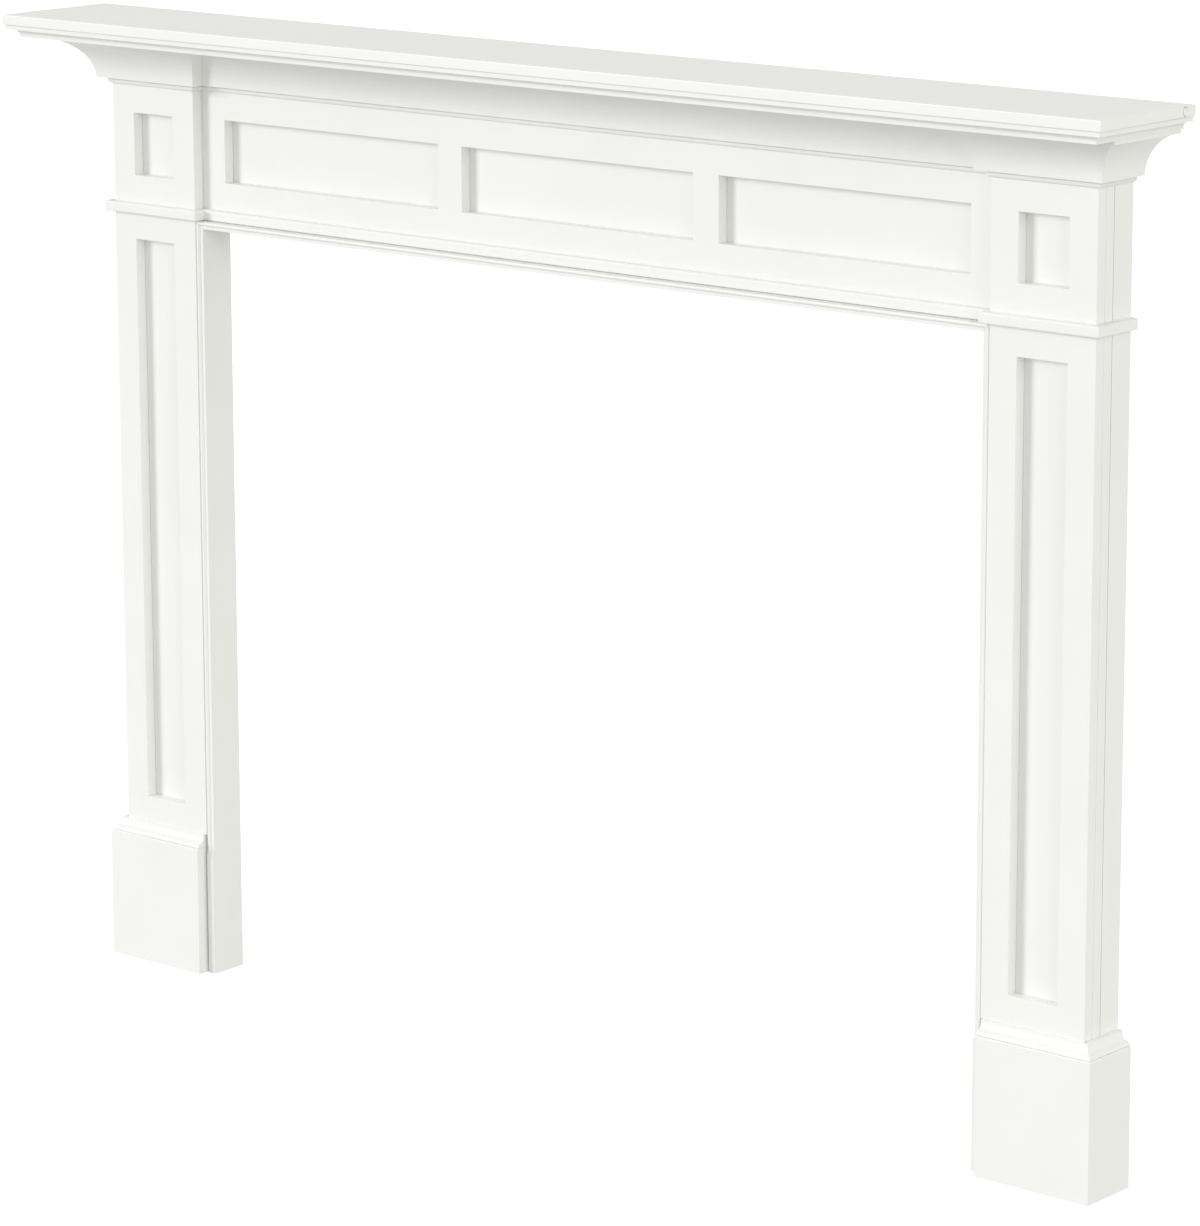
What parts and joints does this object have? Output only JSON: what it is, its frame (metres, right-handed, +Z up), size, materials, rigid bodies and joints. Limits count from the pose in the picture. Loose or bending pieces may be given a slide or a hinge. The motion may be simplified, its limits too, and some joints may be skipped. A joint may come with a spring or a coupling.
{
  "type": "fireplace mantelpiece",
  "caption": "White painted fireplace surround: moulded shelf on a hollow crown, panelled frieze, panelled legs on plinth blocks, open firebox between them.",
  "frame": {"origin": "on the floor, below the middle of the whole piece, halfway between the shelf's front edge and the wall", "axes": "+X along the shelf to the viewer's right, +Y from the front towards the wall, +Z up"},
  "size_m": [1.7288, 0.187, 1.2797],
  "materials": {
    "shelf_paint": "satin white paint",
    "frame_paint": "satin white paint",
    "panel_paint": "satin white paint",
    "moulding_paint": "satin white paint",
    "plinth_paint": "satin white paint",
    "plug_paint": "satin white"
  },
  "bodies": {
    "root": {"left_pilaster_frame": "frame_paint", "left_pilaster_panel": "panel_paint", "left_leg_side_board": "panel_paint", "left_jamb_liner": "moulding_paint", "left_plinth_front": "plinth_paint", "left_plinth_side": "plinth_paint", "left_plinth_cap_front": "moulding_paint", "left_plinth_cap_side": "moulding_paint", "left_band_outer_return": "moulding_paint", "left_band_front": "moulding_paint", "left_band_inner_return": "moulding_paint", "left_crown_bead_outer_return": "moulding_paint", "left_crown_bead_front": "moulding_paint", "left_crown_bead_inner_return": "moulding_paint", "left_crown_outer_return": "moulding_paint", "left_crown_front": "moulding_paint", "left_crown_inner_return": "moulding_paint", "left_shelf_plug": "plug_paint", "right_pilaster_frame": "frame_paint", "right_pilaster_panel": "panel_paint", "right_leg_side_board": "panel_paint", "right_jamb_liner": "moulding_paint", "right_plinth_front": "plinth_paint", "right_plinth_side": "plinth_paint", "right_plinth_cap_front": "moulding_paint", "right_plinth_cap_side": "moulding_paint", "right_band_outer_return": "moulding_paint", "right_band_front": "moulding_paint", "right_band_inner_return": "moulding_paint", "right_crown_bead_outer_return": "moulding_paint", "right_crown_bead_front": "moulding_paint", "right_crown_bead_inner_return": "moulding_paint", "right_crown_outer_return": "moulding_paint", "right_crown_front": "moulding_paint", "right_crown_inner_return": "moulding_paint", "right_shelf_plug": "plug_paint", "frieze_band": "moulding_paint", "frieze_crown_bead": "moulding_paint", "frieze_crown": "moulding_paint", "frieze_frame": "frame_paint", "frieze_panel": "panel_paint", "head_liner": "moulding_paint", "shelf_edge_board": "shelf_paint", "shelf_board": "shelf_paint"}
  },
  "joints": []
}
